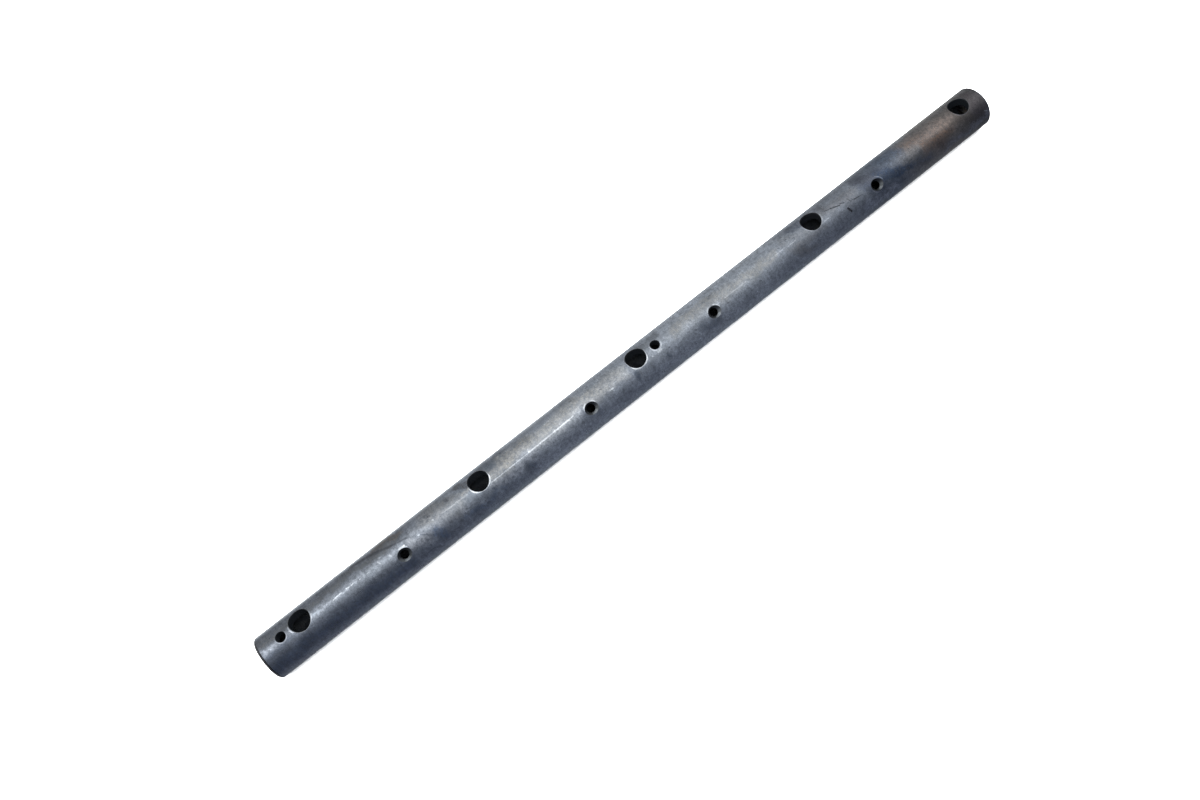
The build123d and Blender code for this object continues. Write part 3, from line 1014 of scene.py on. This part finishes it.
def countersunk(tree, place, parts):
    """Cones and bores of the oil outlets: black but for a painted highlight on the side of the cone that
    faces the light.
    """
    height = vectors(tree, "DOT_PRODUCT", place, (0.0, -sin(OIL_OUTLET_TURN), cos(OIL_OUTLET_TURN)))
    # Painted highlight and shade: how bright the cone is follows the way its surface faces
    facing = node(tree, "ShaderNodeNewGeometry").outputs["Normal"]
    crosswise = vectors(tree, "DOT_PRODUCT", facing, (0.0, cos(OIL_OUTLET_TURN), sin(OIL_OUTLET_TURN)))
    grime = noise(tree, place, 1.1, 4.0, 0.6)
    rings = lines(tree, height, 5.0)
    swing = eased(tree, parts[0], *CONE_SWINGS)
    aside = maths(tree, "MULTIPLY", split(tree, facing)[0], maths(tree, "SINE", swing))
    ahead = maths(tree, "MULTIPLY", crosswise, maths(tree, "COSINE", swing))
    lit_side = maths(tree, "MULTIPLY_ADD", grime, 0.2, maths(tree, "SUBTRACT", ahead, aside))
    lit_side = maths(tree, "MULTIPLY_ADD", lit_side, 0.6, eased(tree, parts[0], *CONE_HIGHLIGHT_SHIFT))
    cone = scaled(tree, graded(tree, lit_side, CONE_COLOURS), eased(tree, parts[0], *CONE_TONE))
    cone_foot = (SHAFT_RADIUS - (COUNTERSINK_RADIUS - OIL_OUTLET_RADIUS)) / MM
    colour = blended(tree, eased(tree, height, cone_foot - 0.1, cone_foot + 0.1), OUTLET_BORE_COLOUR, cone)
    return uneven(tree, colour, rings, 0.85, 1.15), roughened(tree, grime, 0.34, 0.48), rings, 0.01, {}


def drawn_steel(tree, place, parts):
    """Dull drawn sheet of the end plugs, with drawing lines and a film of old oil."""
    film = noise(tree, place, 0.5, 4.0, 0.6)
    grain = noise(tree, place, (0.4, 3.0, 3.0), 3.0)
    rings = lines(tree, from_axis(tree, parts), 3.0)
    colour = uneven(tree, filmed(tree, film, (0.40, 0.39, 0.38), (0.20, 0.17, 0.14)), grain, 0.85, 1.15)
    return colour, roughened(tree, film, 0.38, 0.55), summed(tree, rings, ((grain, 0.3),)), 0.012, {}


# Studio

# Camera, as the photograph was taken, with its clip distances in metres
CAMERA_PLACE = Vector((-93.17, -195.42, 357.91)) * MM
CAMERA_TARGET = Vector((-25.767, -0.288, 0.0)) * MM
CAMERA_ROLL = radians(-21.425)
CAMERA_LENS = 30.122
SENSOR_WIDTH = 36.0
CLIP_START = 0.01
CLIP_END = 20

# Floor: half its side and the distances between which it fades into the white round it, in metres
FLOOR_HALF_SIDE = 2.0
FLOOR_FADE = (0.9, 1.7)
FLOOR_COLOUR = (0.9, 0.9, 0.9, 1)
FLOOR_ROUGHNESS = 0.9

# Lamp over the floor: side and height in metres, power in watts
LAMP_SIDE = 1.6
LAMP_HEIGHT = 1.1
LAMP_POWER = 90.0


def camera():
    lens = bpy.data.cameras.new("camera")
    lens.sensor_width = SENSOR_WIDTH
    lens.lens = CAMERA_LENS
    lens.clip_start = CLIP_START
    lens.clip_end = CLIP_END
    viewer = link(bpy.data.objects.new("camera", lens))
    look = (CAMERA_TARGET - CAMERA_PLACE).to_track_quat("-Z", "Y").to_matrix().to_4x4()
    viewer.matrix_world = Matrix.Translation(CAMERA_PLACE) @ look @ Matrix.Rotation(CAMERA_ROLL, 4, "Z")
    bpy.context.scene.camera = viewer


def floor_light():
    """Wide soft light straight above, which lights the floor and leaves only a faint shadow."""
    panel = bpy.data.lights.new("floor_light", "AREA")
    panel.shape = "SQUARE"
    panel.size = LAMP_SIDE
    panel.energy = LAMP_POWER
    lamp = link(bpy.data.objects.new("floor_light", panel))
    lamp.location = (0.0, 0.0, LAMP_HEIGHT)
    lamp.visible_glossy = False


def floor():
    """Plain pale floor, clear from below and far out, so that no horizon shows behind the shaft."""

    def build(form):
        side = FLOOR_HALF_SIDE
        corners = [(-side, -side), (side, -side), (side, side), (-side, side)]
        form.faces.new(ring(form, [(x, y, -SHAFT_RADIUS) for x, y in corners]))

    material = bpy.data.materials.new("floor")
    material.use_nodes = True
    tree = material.node_tree
    shader = tree.nodes["Principled BSDF"]
    set_inputs(tree, shader, {"Base Color": FLOOR_COLOUR, "Roughness": FLOOR_ROUGHNESS})
    underside = node(tree, "ShaderNodeNewGeometry").outputs["Backfacing"]
    distance = vectors(tree, "LENGTH", object_place(tree))
    gone = maths(tree, "MAXIMUM", underside, eased(tree, distance, *FLOOR_FADE))
    clear = node(tree, "ShaderNodeBsdfTransparent").outputs[0]
    shown = node(tree, "ShaderNodeMixShader", {0: gone, 1: shader.outputs[0], 2: clear}).outputs[0]
    set_inputs(tree, tree.nodes["Material Output"], {"Surface": shown})
    ground = mesh_object("floor", build, material)
    ground.visible_glossy = False


# Light from round the shaft, as (turn in degrees towards +Y, red, green, blue): bright above, dim at the side
# that the camera stands on, and bright low down at the far side
SURROUND = (
    (-180, 0.16, 0.17, 0.2),
    (-160, 0.34, 0.37, 0.43),
    (-138, 0.25, 0.28, 0.34),
    (-110, 0.17, 0.19, 0.24),
    (-62, 0.22, 0.25, 0.3),
    (-38, 0.34, 0.37, 0.42),
    (-15, 1.28, 1.35, 1.4),
    (0, 1.62, 1.7, 1.74),
    (15, 1.15, 1.2, 1.23),
    (32, 0.72, 0.76, 0.79),
    (60, 0.64, 0.68, 0.71),
    (90, 0.4, 0.42, 0.44),
    (108, 0.76, 0.8, 0.82),
    (126, 1.75, 1.8, 1.82),
    (152, 1.8, 1.85, 1.88),
    (180, 0.16, 0.17, 0.2),
)

# The brightest that the surround may be; a ramp holds no more than 1, so its colours are shares of this
BRIGHTEST = 2.0


def surround():
    """Soft light from the studio's walls and softbox, by the turn of its direction about the shaft."""
    studio = bpy.data.worlds.new("studio")
    studio.use_nodes = True
    tree = studio.node_tree
    parts = split(tree, node(tree, "ShaderNodeTexCoord").outputs["Generated"])
    turn = maths(tree, "ARCTAN2", parts[1], parts[2])
    share = maths(tree, "MULTIPLY_ADD", turn, 1 / (2 * pi), 0.5)
    stops = [((turn + 180) / 360, [part / BRIGHTEST for part in light]) for turn, *light in SURROUND]
    seen = node(tree, "ShaderNodeLightPath").outputs["Is Camera Ray"]
    white = (*[1 / BRIGHTEST] * 3, 1)
    light = blended(tree, seen, graded(tree, share, stops), white)
    set_inputs(tree, tree.nodes["Background"], {"Color": light, "Strength": BRIGHTEST})
    bpy.context.scene.world = studio


def dress(piece, node_name):
    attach(piece, "root")
    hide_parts(node_name)


finishes = [
    new_material("ground_steel", ground_steel),
    new_material("turned_end", turned_end),
    new_material("oil_bore", oil_bore),
    new_material("bolt_hole_wall", drilled_wall, BOLT_HOLE_WEAR),
    new_material("small_hole_wall", drilled_wall, SMALL_HOLE_WEAR),
    new_material("countersunk", countersunk),
]
dress(drilled_shaft(*finishes), "shaft")
plug_steel = new_material("plug_steel", drawn_steel)
dress(end_plug("front_plug", -1, plug_steel), "front_end_plug")
dress(end_plug("rear_plug", 1, plug_steel), "rear_end_plug")

camera()
floor()
surround()
floor_light()
bpy.context.scene.view_settings.view_transform = "Standard"
